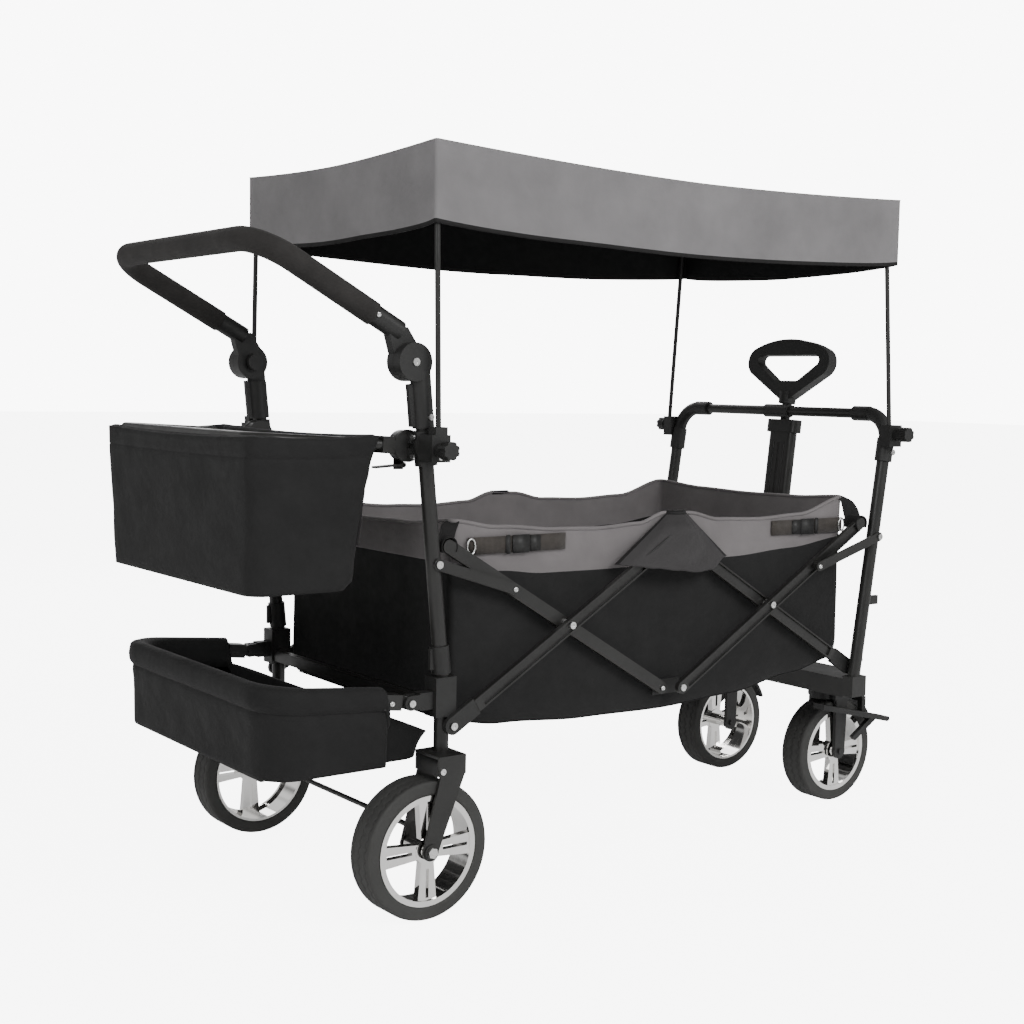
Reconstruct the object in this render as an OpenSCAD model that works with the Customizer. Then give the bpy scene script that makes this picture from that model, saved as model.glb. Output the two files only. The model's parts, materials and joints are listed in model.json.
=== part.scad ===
// Folding pull wagon for children: scissor side frames, fabric tub, canopy on four poles,
// tilting push handle, telescoping pull handle, two rear baskets, fixed rear wheels, front casters.
// +X points to the pull handle, +Y to the wagon's left, +Z up. The origin is on the ground,
// under the middle of the whole wagon. Node modules are drawn from the rear axle forward.

/* [Wheels] */
// Rear axle's place along X
rear_axle_x = -405; // [-420:1:-390]
// Distance between the rear and front axles
wheelbase = 981; // [976:1:986]
// Outer radius of the rear tyres
rear_wheel_r = 100; // [96:1:101]
// Outer radius of the front tyres
front_wheel_r = 93.5; // [90:0.5:94]
// Distance between the middles of the rear tyres
rear_track = 510; // [508:1:512]
// Distance between the middles of the front tyres
front_track = 282; // [276:1:290]
// Width of the rear tyres
rear_tyre_w = 50; // [44:1:50]
// Width of the front tyres
front_tyre_w = 48; // [40:1:48]

/* [Frame] */
// Outer radius of the upright tubes
tube_r = 11; // [10:0.5:11]
// Distance from the centre plane to the rear uprights
rear_tube_y = 246; // [245.5:0.5:246.5]
// Distance from the centre plane to the front uprights
front_tube_y = 266; // [266:0.5:267]
// Height of the top of the canopy
canopy_top = 1094; // [1090:1:1120]
// Length of the canopy
canopy_l = 980; // [976:1:982]
// Half the canopy's width at its rear edge
canopy_rear_half = 278; // [277:1:280]
// Half the canopy's width at its front edge
canopy_front_half = 272; // [271:1:274]
// Height of the canopy's hanging edge
valance_h = 116; // [80:1:120]

/* [Scissor] */
// Height of the two lower arm pivots
low_pivot_z = 272; // [270:1:274]
// Rear arm pivot, forward of the rear axle
rear_pivot_x = 46; // [45:1:47]
// Front arm pivot, forward of the rear axle
front_pivot_x = 906; // [905:1:907]
// Rise of an arm from its lower pivot to its middle
half_rise = 128; // [122:1:130]
// Width of the scissor bars
bar_w = 20; // [16:1:22]

/* [Tub] */
// Distance from the centre plane to the tub's outer face
tub_y = 240; // [236:1:240]
// Height of the tub's rim
tub_top = 560; // [556:1:566]
// Thickness of the tub fabric
cloth = 4; // [3:0.5:5]

/* [Hidden] */
$fn = 64;

steel_black = [0.06, 0.06, 0.065];
plastic_black = [0.10, 0.10, 0.105];
foam_black = [0.14, 0.14, 0.14];
cloth_black = [0.05, 0.05, 0.055];
cloth_grey = [0.27, 0.26, 0.27];
silver = [0.75, 0.75, 0.76];
chrome = [0.85, 0.85, 0.86];
tyre_grey = [0.11, 0.11, 0.11];

running = 0.05;        // radial clearance of every pin and shaft that turns
seat = 0.1;            // gap between fixed pieces that sit on each other
pin_r = 4;             // rivets and pins of the scissor frame
rivet_head_r = 5.5;
axle_washer = 8;       // how far the rear axle's washer stands out from the tyre's face

// Rear upright: straight foot, then leaning back to the handle hub
foot_x = 41;
foot_z = 234;
bend_z = 330;
upright_h = 745;
lean = 5.85;
bend_r = 120;
bend_end = [foot_x - bend_r * (1 - cos(lean)), rear_tube_y, bend_z + bend_r * sin(lean)];
function rear_at(z) = z < bend_z ? [foot_x, rear_tube_y, z]
    : [bend_end[0] - (z - bend_end[2]) * tan(lean), rear_tube_y, z];

// Front upright: leans forward all the way
front_foot = [900, front_tube_y, 222];
front_lean = 8.5;
elbow_r = 48;
elbow_z = 671;
function front_at(z) = front_foot + (z - front_foot[2]) * [tan(front_lean), 0, 1];
crossbar = [front_at(elbow_z)[0] + elbow_r * sin(front_lean), elbow_z + elbow_r * cos(front_lean)];

// Handle hub and push handle
hub = [-19, 788];
hub_r = 27;
arm_y = 236;
arm_low = [-34, 830.8];
handle_corner = [-248, 945];
handle_len = norm(handle_corner - arm_low);
handle_angle = atan2(handle_corner[1] - arm_low[1], arm_low[0] - handle_corner[0]);
handle_bend = 58;
grip_r = 17;
handle_tube_r = 9.5;

// Scissor geometry: equal halves, so that the front frame travels level while it folds
mid_x = (rear_pivot_x + front_pivot_x) / 2;
quarter = (front_pivot_x - rear_pivot_x) / 4;
high_pivot_z = low_pivot_z + 2 * half_rise;
rear_pivot = [rear_pivot_x, low_pivot_z];
front_pivot = [front_pivot_x, low_pivot_z];
top_pivot = [mid_x, high_pivot_z];
rear_cross = [rear_pivot_x + quarter, low_pivot_z + half_rise];
front_cross = [front_pivot_x - quarter, low_pivot_z + half_rise];
rear_tip = [rear_pivot_x, high_pivot_z];
front_tip = [front_pivot_x, high_pivot_z];
hub_gap = 15;          // each brace ends this far short of the middle, on the centre hub
brace_slope = half_rise / quarter;
rear_low = [mid_x - hub_gap, low_pivot_z + hub_gap * brace_slope];
front_low = [mid_x + hub_gap, low_pivot_z + hub_gap * brace_slope];
link_share = 0.47;     // how far up a brace its link is riveted
rear_link_end = [rear_cross[0] - link_share * quarter, rear_cross[1] + link_share * half_rise];
front_link_end = [front_cross[0] + link_share * quarter, front_cross[1] + link_share * half_rise];
link_z = 504;
rear_link_root = [rear_at(link_z)[0], link_z];
front_link_root = [front_at(link_z)[0], link_z];
inner_y = [246, 254];  // layer of the rear braces and the front arms
outer_y = [262, 270];  // layer of the rear arms and the front braces
rear_link_y = [258, 261];
front_link_y = [278.5, 281.5];
sleeve_len = 48;

// Baskets
basket_pivot = [-12, 671];
upper_len = 236;
upper_half = 228;
upper_bag_half = 240;
basket_tube_r = 8;
lever_hinge = [-14, 644];
lower_pivot = [-16, 309];
lower_len = 204;
lower_half = 240;
lower_tilt = 7;

// Tub outline in side view, rear to front along the bottom
tub_rear = 57;
tub_front = 895;
tub_low = [[57, 268], [160, 254], [320, 244], [476, 241], [640, 248], [780, 268], [895, 288]];
tub_low_in = [for (p = tub_low) [min(max(p[0], tub_rear + cloth), tub_front - cloth), p[1] + cloth]];
mat_low = 293;
mat_h = 9;
strap_z = 525;

// Canopy and its poles
canopy_x = -2;
pole_r = 4;
pole_foot_z = 677;
rear_pole_foot = [7.5, 279, pole_foot_z];
rear_pole_head = [7.5, 266, 1086];
front_pole_foot = [954.5, 284, pole_foot_z + 4];
front_pole_head = [957, 256, 1086];
knob_z = 667;
front_knob_z = 684;

// Pull handle: leans forward like the front uprights
pull_pivot = [943, 266];
pull_lean = 6.6;
pull_bore_r = 9;
channel_h = 400;

// Front casters
stem_x = 965;
stem_r = 12;
crown_low = 191;
crown_high = 204;
pedal_hinge = [1003, 198.2];

module in_place() translate([rear_axle_x, 0, 0]) children();

module pair() {
    children();
    mirror([0, 1, 0]) children();
}

// Draws its children on the left, or mirrored on the right
module side(right) mirror([0, right ? 1 : 0, 0]) children();

module rod(p, q, r) {
    d = q - p;
    l = norm(d);
    translate(p) rotate([0, acos(d[2] / l), atan2(d[1], d[0])]) cylinder(r = r, h = l);
}

// Cylinder along Y at [x, z], from y0 to y1
module across(at, y0, y1, r) translate([at[0], y0, at[1]]) rotate([-90, 0, 0]) cylinder(r = r, h = y1 - y0);

// Extrudes an XZ outline along Y, from y0 to y1
module slab(points, y0, y1)
    translate([0, y1, 0]) rotate([90, 0, 0]) linear_extrude(height = y1 - y0) polygon(points);

module block(low, high) translate(low) cube(high - low);

// Frame whose X axis runs from a to b in the XZ plane
module along(a, b)
    translate([a[0], 0, a[1]]) rotate([0, -atan2(b[1] - a[1], b[0] - a[0]), 0]) children();

// Bar with round ends from s0 to s1 along the line a-b, and a channel pressed into its outer face
module channel_bar(a, b, s0, s1, y, w, groove) {
    depth = 4;
    difference() {
        along(a, b) {
            block([s0, y[0], -w / 2], [s1, y[1], w / 2]);
            across([s1, 0], y[0], y[1], w / 2);
            if (s0 == 0) across([0, 0], y[0], y[1], w / 2);
        }
        if (groove) along(a, b)
            block([s0 + 12, y[1] - depth, -w / 2 + 2.5], [s1 - 12, y[1] + 1, w / 2 - 2.5]);
    }
}

// Rivet head from y0 to y1 with a dimple in its outer face
module dimpled_head(at, y0, y1, r = rivet_head_r) difference() {
    across(at, y0, y1, r);
    across(at, y1 - 1, y1 + 1, r * 0.42);
}

module eye(at, y, r) across(at, y[0] - 1, y[1] + 1, r);

// Rear upright's outline, grown or shrunk to radius r
module rear_tube(r) {
    rod(rear_at(foot_z), [foot_x, rear_tube_y, bend_z], r);
    translate([foot_x - bend_r, rear_tube_y, bend_z]) rotate([90, 0, 0])
        rotate_extrude(angle = lean) translate([bend_r, 0]) circle(r = r);
    rod(bend_end, rear_at(upright_h), r);
}

module upper_rear_tube(r) rod(rear_at(600), rear_at(upright_h), r);

// U-shaped tube lying in the XY plane, its legs running back from x = 0
module u_tube(len, half, bend, r) {
    pair() {
        rod([0, half, 0], [bend - len, half, 0], r);
        translate([bend - len, half - bend, 0]) rotate([0, 0, 90])
            rotate_extrude(angle = 90) translate([bend, 0]) circle(r = r);
    }
    rod([-len, bend - half, 0], [-len, half - bend, 0], r);
}

// ---- rear frame ----

module rear_uprights() color(steel_black) in_place() pair() {
    rear_tube(tube_r);
    across(rear_pivot, rear_tube_y + 8, outer_y[1] + 1, pin_r);
    across(rear_link_root, rear_tube_y + 8, rear_link_y[1] + 1, pin_r);
}

// Plastic block round each upright, with the socket that the lower basket plugs into
module rear_brackets() color(plastic_black) in_place() pair() difference() {
    union() {
        block([foot_x - 20, 232, 285], [foot_x + 15, 262, 342]);
        block([-2, 238, 297], [foot_x - 20, 256, 322]);
        block([lower_pivot[0] - 2, 238, 299], [-2, 243.5, 320]);
        block([lower_pivot[0] - 2, 250.5, 299], [-2, 256, 320]);
        across(lower_pivot, 238, 243.5, 10.5);
        across(lower_pivot, 250.5, 256, 10.5);
        rod(rear_at(346), rear_at(386), tube_r + 3);
        block([foot_x - 22, 243, 352], [foot_x - 9, 249, 382]);
    }
    rear_tube(tube_r + seat);
    across(lower_pivot, 230, 260, pin_r + running);
}

// Clamp with the canopy pole's socket outboard and the basket's fixed hub disc inboard
module rear_clamps() color(plastic_black) in_place() pair() difference() {
    union() {
        rod(rear_at(644), rear_at(693), tube_r + 5);
        block([-9, 252, 650], [22, 288, 688]);
        block([-3, 270, 688], [17, 288, 699]);
        block([-14, 229, 652], [14, 240, 690]);
        across(basket_pivot, 226.5, 233, 23);
    }
    upper_rear_tube(tube_r + seat);
    rod(rear_pole_foot - [0, 0, 0.5], rear_pole_head, pole_r + seat);
    across([6, knob_z], 276, 300, 5 + running);
    across(basket_pivot, 220, 240, pin_r + running);
}

module handle_sleeves() color(plastic_black) in_place() pair() difference() {
    union() {
        rod(rear_at(697), rear_at(776), tube_r + 4.5);
        along([rear_at(700)[0], 700], [rear_at(770)[0], 770]) block([0, 242, 6], [60, 250, 22]);
        across(hub, 244.2, 261, hub_r);
    }
    upper_rear_tube(tube_r + seat);
    block([-60, 200, 757], [20, 244.2, 830]);
    across(hub, 240, 270, 5 + running);
}

module rear_forks() color(steel_black) in_place() pair() difference() {
    y0 = rear_track / 2 - rear_tyre_w / 2;
    y1 = rear_track / 2 + rear_tyre_w / 2;
    union() {
        block([12, y0 - 6, 206], [58, y1 + 6, 234]);
        for (y = [y0 - 6, y1 + 2]) {
            slab([[16, 210], [58, 210], [13, 100], [-13, 100]], y, y + 4);
            across([0, rear_wheel_r], y, y + 4, 13);
        }
        across([0, rear_wheel_r], y1 + 6, y1 + axle_washer, 11);
    }
    block([0, y0 - 2, 190], [54, y1 + 2, 230]);
    across([0, rear_wheel_r], y0 - 10, y1 + 10, 6 + seat);
}

// Lower crossbar between the brackets, and the thin rod between the forks
module rear_crossbars() color(steel_black) in_place() {
    block([24, -231.8, 290], [36, 231.8, 308]);
    half = rear_track / 2 - rear_tyre_w / 2 - 6.2;
    rod([0, -half, 125], [0, half, 125], 4);
}

module rear_canopy_poles() color(steel_black) in_place() pair() rod(rear_pole_foot, rear_pole_head, pole_r);

// Rear axle bolts, rivet heads and screws that stay with the rear frame
module rear_fasteners() color(silver) in_place() pair() {
    y0 = rear_track / 2 - rear_tyre_w / 2 - 6;
    y1 = rear_track / 2 + rear_tyre_w / 2 + 6;
    across([0, rear_wheel_r], y0 - 3, y1 + 3, 6);
    translate([0, y1 + axle_washer - 6 + seat, rear_wheel_r]) rotate([-90, 0, 0]) rotate(15)
        linear_extrude(height = 4.5) circle(r = 8, $fn = 6);
    dimpled_head(rear_pivot, outer_y[1] + 1.1, outer_y[1] + 3.5);
    dimpled_head(rear_link_root, rear_link_y[1] + 1.1, rear_link_y[1] + 3);
    dimpled_head(lower_pivot, 257.1, 259.3, 5);
    dimpled_head([18, 213], y1 + 0.1, y1 + 2.4, 4.5);
    across([6, 712], 261.7, 264.2, 4.5);
    dimpled_head(hub, 261.1, 263);
    for (z = [656, 684]) translate([-16.2, 248, z]) rotate([0, 90, 0]) cylinder(r = 4, h = 3);
}

// ---- tub ----

module tub_fabric() color(cloth_black) in_place() difference() {
    slab(concat([[tub_front, tub_top], [tub_rear, tub_top]], tub_low), -tub_y, tub_y);
    slab(
        concat([[tub_front - cloth, tub_top + 1], [tub_rear + cloth, tub_top + 1]], tub_low_in),
        cloth - tub_y, tub_y - cloth
    );
}

// Webbing and side-release buckle at each of the tub's corners
module corner_straps() color(plastic_black) in_place() pair() {
    block([84, tub_y + 0.3, strap_z - 13], [267, tub_y + 2, strap_z + 13]);
    block([146, tub_y + 2, strap_z - 14], [193, tub_y + 5, strap_z + 14]);
    block([713, tub_y + 0.3, strap_z - 13], [880, tub_y + 2, strap_z + 13]);
    block([786, tub_y + 2, strap_z - 14], [853, tub_y + 5, strap_z + 14]);
}

module floor_mat() color(cloth_black) in_place()
    block([tub_rear + 8, 8 - tub_y, mat_low], [tub_front - 8, tub_y - 8, mat_low + mat_h]);

// ---- canopy ----

// Canopy's outline from above, a little wider at the rear, drawn inset from its edges
module canopy_plan(inset) polygon([
    [canopy_x + inset, inset - canopy_rear_half], [canopy_x + canopy_l - inset, inset - canopy_front_half],
    [canopy_x + canopy_l - inset, canopy_front_half - inset], [canopy_x + inset, canopy_rear_half - inset]
]);

module canopy_fabric() color(cloth_grey) in_place() translate([0, 0, canopy_top - valance_h]) difference() {
    linear_extrude(height = valance_h) canopy_plan(0);
    translate([0, 0, -1]) linear_extrude(height = valance_h + 1 - cloth) canopy_plan(cloth);
}

// ---- knobs and hub buttons ----

module knob(at, y0) {
    across(at, y0, y0 + 9, 11);
    difference() {
        across(at, y0 + 9, y0 + 27, 13);
        for (a = [0 : 45 : 315])
            across([at[0] + 14.5 * cos(a), at[1] + 14.5 * sin(a)], y0 + 12, y0 + 28, 3.2);
    }
    across(at, y0 - 10, y0, 5);
}

module rear_knob(right) color(plastic_black) in_place() side(right) knob([6, knob_z], 288.5);
module rear_knob_right() rear_knob(true);
module rear_knob_left() rear_knob(false);

module front_knob(right) color(plastic_black) in_place() side(right) knob([965, front_knob_z], 292.5);
module front_knob_right() front_knob(true);
module front_knob_left() front_knob(false);

module hub_button(right) color(plastic_black) in_place() side(right) {
    across(hub, 215.5, 223.5, 13);
    across(hub, 223.5, 231.5, 8.15);
}
module hub_button_right() hub_button(true);
module hub_button_left() hub_button(false);

// ---- push handle ----

module handle_frame() translate([arm_low[0], 0, arm_low[1]]) rotate([0, handle_angle, 0]) children();

module handle_tube() color(steel_black) in_place() handle_frame() difference() {
    u_tube(handle_len, arm_y, handle_bend, handle_tube_r);
    block([-6, -300, -20], [20, 300, 20]);
}

module handle_grip() color(foam_black) in_place() handle_frame() difference() {
    u_tube(handle_len, arm_y, handle_bend, grip_r);
    u_tube(handle_len, arm_y, handle_bend, handle_tube_r + seat);
    block([-46, -300, -20], [20, 300, 20]);
}

// Upper half of each hub, with the sleeve that holds the handle's tube
module handle_arms() color(plastic_black) in_place() pair() difference() {
    union() {
        across(hub, 227.5, 243.8, hub_r);
        handle_frame() rod([2, arm_y, 0], [-45.8, arm_y, 0], grip_r - 2);
        slab([[-44, 799], [-4, 810], [-22, 836], [-52, 826]], 227.5, 243.8);
    }
    handle_frame() u_tube(handle_len, arm_y, handle_bend, handle_tube_r + seat);
    across(hub, 226, 235, 8.2);
    across(hub, 234, 250, 5 + running);
    block([-80, 244, 700], [20, 262, 818]);
}

// ---- baskets ----

module upper_basket_frame() color(steel_black) in_place() pair() {
    translate([basket_pivot[0], 0, basket_pivot[1]]) rotate([0, 3, 0]) {
        difference() {
            u_tube(upper_len, upper_half, 35, basket_tube_r);
            block([-44, -300, -20], [20, 300, 20]);
            block([-300, -300, -20], [20, 0, 20]);
        }
        block([-44, 212, -12], [-25, 237, 12]);
        block([-25, 212, -12], [-14, 225, 12]);
    }
    across(basket_pivot, 212, 226, 22);
    across(basket_pivot, 226, 232, pin_r);
    block([lever_hinge[0] - 7, 207.5, 637], [lever_hinge[0] + 7, 212.6, 662]);
    across(lever_hinge, 211, 224, 2);
}

upper_outer = [[-58, 690], [-82, 600], [-90, 500], [-116, 474], [-257, 474], [-262, 690]];
upper_inner = [[-61, 691], [-85, 600], [-93, 501], [-117.5, 477], [-254, 477], [-259, 691]];

module upper_basket_bag() color(cloth_black) in_place() difference() {
    slab(upper_outer, -upper_bag_half, upper_bag_half);
    slab(upper_inner, 3 - upper_bag_half, upper_bag_half - 3);
    pair() block([-80, 208, 655], [-50, upper_bag_half + 1, 700]);
}

module basket_lever(right) color(plastic_black) in_place() side(right) difference() {
    union() {
        across(lever_hinge, 213, 225, 4);
        along(lever_hinge, [-60, 641]) block([3, 213, -1.5], [46, 225, 1.5]);
    }
    across(lever_hinge, 210, 230, 2 + running);
}
module basket_lever_right() basket_lever(true);
module basket_lever_left() basket_lever(false);

module lower_basket_frame() color(steel_black) in_place() {
    translate([lower_pivot[0], 0, lower_pivot[1]]) rotate([0, lower_tilt, 0]) difference() {
        u_tube(lower_len, lower_half, 60, 9);
        block([-14, -300, -20], [20, 300, 20]);
    }
    pair() difference() {
        union() {
            across(lower_pivot, 243.8, 250.2, 10);
            along(lower_pivot, [lower_pivot[0] - 100, lower_pivot[1] + 100 * tan(lower_tilt)])
                block([0, 243.8, -8], [13.5, 250.2, 8]);
            along(lower_pivot, [lower_pivot[0] - 100, lower_pivot[1] + 100 * tan(lower_tilt)])
                block([13.5, 229, -11], [42, 252, 11]);
        }
        across(lower_pivot, 240, 256, pin_r + running);
        translate([lower_pivot[0], 0, lower_pivot[1]]) rotate([0, lower_tilt, 0])
            difference() {
                u_tube(lower_len, lower_half, 60, 9 + seat);
                block([-14, -300, -20], [20, 300, 20]);
            }
    }
    pair() across(lower_pivot, 237, 257, pin_r);
}

module lower_basket_bag() color(cloth_black) in_place() difference() {
    union() {
        slab([[-62, 331], [-62, 222], [-229, 222], [-240, 352]], -254, 254);
        slab([[38, 256], [20, 222], [-63, 222], [-63, 297]], -222, 222);
    }
    slab([[-65, 333], [-65, 225], [-226, 225], [-237, 354]], -251, 251);
    slab([[34.5, 258], [18.3, 225], [-70, 225], [-70, 303]], -219, 219);
    block([-70, -251, 290], [-55, 251, 340]);
    pair() block([-70, 226, 300], [-50, 258, 340]);
}

// ---- scissor side frames ----

module rear_arms() color(steel_black) in_place() pair() difference() {
    channel_bar(rear_pivot, top_pivot, sleeve_len + 0.3, norm(top_pivot - rear_pivot), outer_y, bar_w, true);
    eye(rear_cross, outer_y, pin_r + seat);
    eye(top_pivot, outer_y, pin_r + seat);
}

module arm_sleeve(a, b, y) difference() {
    along(a, b) {
        across([0, 0], y[0] + 0.3, y[1] - 0.3, bar_w / 2 + 3);
        block([0, y[0] + 0.3, -bar_w / 2 - 3], [sleeve_len, y[1] - 0.3, bar_w / 2 + 3]);
    }
    eye(a, y, pin_r + running);
}

module rear_arm_sleeves() color(plastic_black) in_place() pair() arm_sleeve(rear_pivot, top_pivot, outer_y);

// Rivets through the rear arms: shank, spacer, and a head that stands in the channel or on the bar
module frame_rivet(at, head_y) difference() {
    union() {
        across(at, inner_y[0] - 1, outer_y[1] + 1, pin_r);
        across(at, inner_y[1] + 0.3, outer_y[0] - 0.3, 8);
        across(at, head_y, outer_y[1] + 2.2, rivet_head_r);
    }
    across(at, outer_y[1] + 1.2, outer_y[1] + 3, rivet_head_r * 0.42);
}
channel_floor_y = outer_y[1] - 3.9;

module arm_rivets() color(silver) in_place() pair() {
    frame_rivet(rear_cross, channel_floor_y);
    frame_rivet(top_pivot, outer_y[1] + seat);
}

module rear_braces() color(steel_black) in_place() pair() difference() {
    channel_bar(rear_tip, rear_low, 0, norm(rear_low - rear_tip), inner_y, bar_w, false);
    eye(rear_cross, inner_y, pin_r + running);
    eye(rear_low, inner_y, pin_r + running);
}

// Plate and pin that hold the lower ends of the braces together
module centre_hubs() color(plastic_black) in_place() pair() {
    block([rear_low[0] - 13, 242, rear_low[1] - 12], [front_low[0] + 13, 245.6, rear_low[1] + 12]);
    across(rear_low, 242, 255.5, pin_r);
}

module link(root, tip, y, boss_y) difference() {
    union() {
        along(root, tip) {
            block([0, y[0], -8], [norm(tip - root), y[1], 8]);
            across([0, 0], y[0], y[1], 8);
            across([norm(tip - root), 0], y[0], y[1], 8);
        }
        across(tip, boss_y, y[0], 7);
    }
    eye(root, y, pin_r + running);
}

module rear_links() color(steel_black) in_place()
    pair() link(rear_link_root, rear_link_end, rear_link_y, inner_y[1] + 0.6);

module front_arms() color(steel_black) in_place() pair() difference() {
    channel_bar(front_pivot, top_pivot, sleeve_len + 0.3, norm(top_pivot - front_pivot), inner_y, bar_w, true);
    eye(front_cross, inner_y, pin_r + running);
    eye(top_pivot, inner_y, pin_r + running);
}

module front_arm_sleeves() color(plastic_black) in_place() pair() arm_sleeve(front_pivot, top_pivot, inner_y);

module front_braces() color(steel_black) in_place() pair() difference() {
    channel_bar(front_low, front_tip, 0, norm(front_tip - front_low), outer_y, bar_w, true);
    eye(front_cross, outer_y, pin_r + seat);
}

module brace_rivets() color(silver) in_place() pair() {
    frame_rivet(front_cross, channel_floor_y);
    dimpled_head(front_low, outer_y[1] + 0.1, outer_y[1] + 2.4);
}

module front_links() color(steel_black) in_place()
    pair() link(front_link_root, front_link_end, front_link_y, outer_y[1] + 0.8);

// ---- front frame ----

module front_tube(r) rod(front_foot, front_at(elbow_z - 1.5), r);

module front_uprights() color(steel_black) in_place() pair() {
    front_tube(tube_r);
    across(front_pivot, inner_y[0] - 1, front_tube_y - 8, pin_r);
    across(front_link_root, front_tube_y + 8, front_link_y[1] + 1, pin_r);
    block([front_at(390)[0] + 5, front_tube_y - 3, 382], [front_at(390)[0] + 34, front_tube_y + 3, 398]);
    block([front_foot[0] - 11, 255.2, 222], [front_foot[0] + 25, 278, 258]);
}

// Elbow from the upright's head to the top crossbar, with the pole's socket outboard
module corner_fittings() color(plastic_black) in_place() pair() difference() {
    union() {
        rod(front_at(636), front_at(elbow_z + 5), tube_r + 4);
        translate(front_at(elbow_z)) rotate([0, front_lean, 0]) translate([0, -elbow_r, 0])
            rotate([90, 0, 90]) rotate_extrude(angle = 90) translate([elbow_r, 0]) circle(r = 12.5);
        rod([crossbar[0], 222, crossbar[1]], [crossbar[0], 188, crossbar[1]], 13.5);
        block([947, front_tube_y + 4, 662], [978, 292, 700]);
    }
    front_tube(tube_r + seat);
    rod(front_pole_foot - [0, 0, 0.5], front_pole_head, pole_r + seat);
    rod([crossbar[0], 0, crossbar[1]], [crossbar[0], 212, crossbar[1]], 9 + seat);
    across([965, front_knob_z], 276, 300, 5 + running);
}

module top_crossbars() color(steel_black) in_place() pair()
    rod([crossbar[0], 19, crossbar[1]], [crossbar[0], 211.5, crossbar[1]], 9);

// Clip between the two crossbars that the pull handle's neck snaps into
module centre_clip() color(plastic_black) in_place() difference() {
    union() {
        rod([crossbar[0], -30, crossbar[1]], [crossbar[0], 30, crossbar[1]], 12.5);
        block([crossbar[0], -16, 709], [1001, 16, 729]);
    }
    pair() rod([crossbar[0], 18.8, crossbar[1]], [crossbar[0], 40, crossbar[1]], 9 + seat);
    block([979.5, -9.8, 700], [1010, 9.8, 740]);
}

// Bottom channel's outline from above: narrow at the uprights, deeper between the casters
member_plan = [[892, -254.5], [924, -254.5], [976, -175], [976, 175], [924, 254.5], [892, 254.5]];

// Bottom channel with the casters' sockets and the pull handle's hinge ears
module front_crossmember() color(steel_black) in_place() difference() {
    union() {
        translate([0, 0, 218]) linear_extrude(height = 34) polygon(member_plan);
        pair() {
            block([926, 34, 252], [960, 39, 278]);
        }
    }
    translate([0, 0, 217]) linear_extrude(height = 31) difference() {
        polygon([for (p = member_plan) [
            p[0] + (p[0] < 900 ? 4 : -4), p[1] * (1 - 4 / abs(p[1]))
        ]]);
        for (y = [-1, 1]) translate([stem_x - 3, y * front_track / 2]) circle(r = 21);
    }
    pair() {
        translate([stem_x, front_track / 2, 210]) cylinder(r = stem_r + running, h = 37);
        front_tube(tube_r + seat);
        across(pull_pivot, 30, 45, 5 + running);
    }
}

module front_canopy_poles() color(steel_black) in_place()
    pair() rod(front_pole_foot, front_pole_head, pole_r);

module front_fasteners() color(silver) in_place() {
    pair() {
        dimpled_head(front_link_root, front_link_y[1] + 1.1, front_link_y[1] + 3);
        dimpled_head([968, 652], front_tube_y + 15.2, front_tube_y + 18, 5);
        translate([crossbar[0] + 13.6, 200, crossbar[1]]) rotate([0, 90, 0]) cylinder(r = 5, h = 2);
        translate([front_at(285)[0] + 12, front_tube_y, 285]) rotate([0, 90, 0]) cylinder(r = 4, h = 2.5);
    }
    rod([pull_pivot[0], -41, pull_pivot[1]], [pull_pivot[0], 41, pull_pivot[1]], 5);
}

// ---- pull handle ----

module pull_frame() translate([pull_pivot[0], 0, pull_pivot[1]]) rotate([0, pull_lean, 0]) children();

// Broad outer tube with pressed grooves, and the collar at its mouth
module pull_channel() color(steel_black) in_place() pull_frame() difference() {
    union() {
        pair() translate([0, 21, 14]) cylinder(r = 10, h = channel_h);
        translate([-10, -21, 14]) cube([20, 42, channel_h]);
        rotate([90, 0, 0]) translate([0, 0, -31]) cylinder(r = 12, h = 62);
        translate([-10, -31, 0]) cube([20, 62, 20]);
        pair() translate([0, 26, channel_h + 14]) cylinder(r = 13, h = 24);
        translate([-13, -26, channel_h + 14]) cube([26, 52, 24]);
    }
    for (y = [-13, 0, 13], x = [-10.5, 10.5])
        translate([x, y, 24]) cylinder(r = 2.5, h = channel_h - 30, $fn = 16);
    translate([0, 0, 60]) cylinder(r = pull_bore_r + running, h = channel_h);
    rotate([90, 0, 0]) translate([0, 0, -40]) cylinder(r = 5 + running, h = 80);
}

module pull_tube() color(steel_black) in_place() pull_frame()
    translate([0, 0, 66]) cylinder(r = pull_bore_r, h = 430);

// D-shaped grip: two side lobes, a bowed top bar and a tapered neck
module pull_grip() color(plastic_black) in_place() pull_frame() difference() {
    union() {
        rotate([90, 0, 90]) translate([0, 0, -11]) linear_extrude(height = 22) difference() {
            hull() {
                translate([-76, 548]) circle(r = 28, $fn = 32);
                translate([76, 548]) circle(r = 28, $fn = 32);
                translate([0, 500]) circle(r = 26, $fn = 32);
                translate([0, 370]) intersection() {
                    circle(r = 222, $fn = 96);
                    translate([-70, 150]) square([140, 100]);
                }
            }
            hull() {
                translate([-68, 551]) circle(r = 10, $fn = 24);
                translate([68, 551]) circle(r = 10, $fn = 24);
                translate([-26, 522]) circle(r = 10, $fn = 24);
                translate([26, 522]) circle(r = 10, $fn = 24);
            }
        }
        translate([0, 0, 469]) cylinder(r = 16, h = 23);
    }
    translate([0, 0, 440]) cylinder(r = pull_bore_r + seat, h = 56.2);
}

// ---- casters ----

module at_front_axle(right) side(right) translate([wheelbase, front_track / 2, front_wheel_r]) children();

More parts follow.
